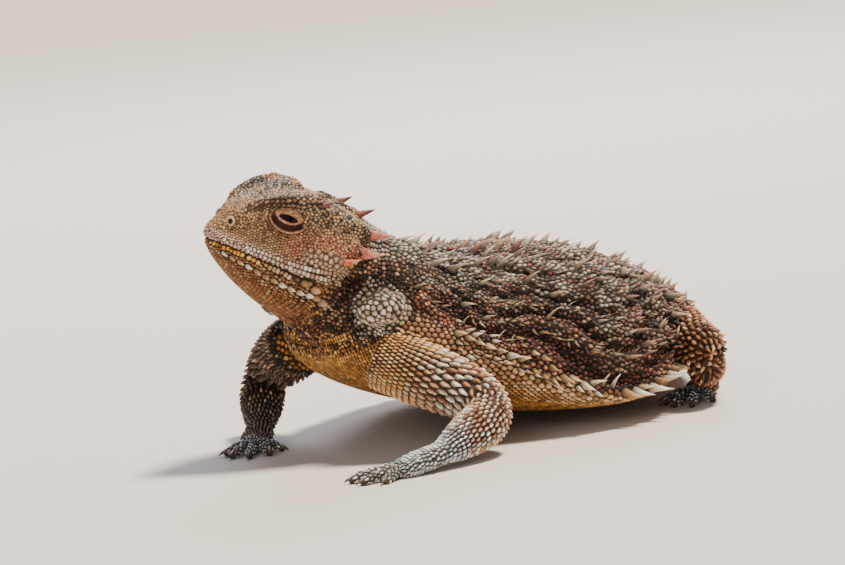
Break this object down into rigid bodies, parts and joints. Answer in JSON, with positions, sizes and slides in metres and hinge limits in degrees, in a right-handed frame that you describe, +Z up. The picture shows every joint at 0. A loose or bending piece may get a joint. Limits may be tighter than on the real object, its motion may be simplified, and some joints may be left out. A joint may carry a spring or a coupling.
{
  "type": "horned lizard figure",
  "caption": "Life-size still figure of a crouched horned lizard with spines, fringe scales, eyes and claws, resting on its feet.",
  "frame": {"origin": "centre of the bounding box in plan, at the floor the feet rest on", "axes": "-Y the way the trunk faces, +X the lizard's left, +Z up"},
  "size_m": [0.0704, 0.0796, 0.0366],
  "materials": {
    "skin": "matt",
    "eye": "glossy",
    "horn": "satin"
  },
  "bodies": {
    "root": {"eye_left": "eye", "eye_right": "eye", "foot_left": "skin", "foot_right": "skin", "forearm_left": "skin", "forearm_right": "skin", "hand_left": "skin", "hand_right": "skin", "head": "skin", "horn_brow_left": "horn", "horn_brow_right": "horn", "horn_occipital_left": "horn", "horn_occipital_right": "horn", "horn_temporal_lower_left": "horn", "horn_temporal_lower_right": "horn", "horn_temporal_middle_left": "horn", "horn_temporal_middle_right": "horn", "horn_temporal_upper_left": "horn", "horn_temporal_upper_right": "horn", "neck": "skin", "shank_left": "skin", "shank_right": "skin", "tail": "skin", "thigh_left": "skin", "thigh_right": "skin", "torso": "skin", "upper_arm_left": "skin", "upper_arm_right": "skin"}
  },
  "joints": []
}
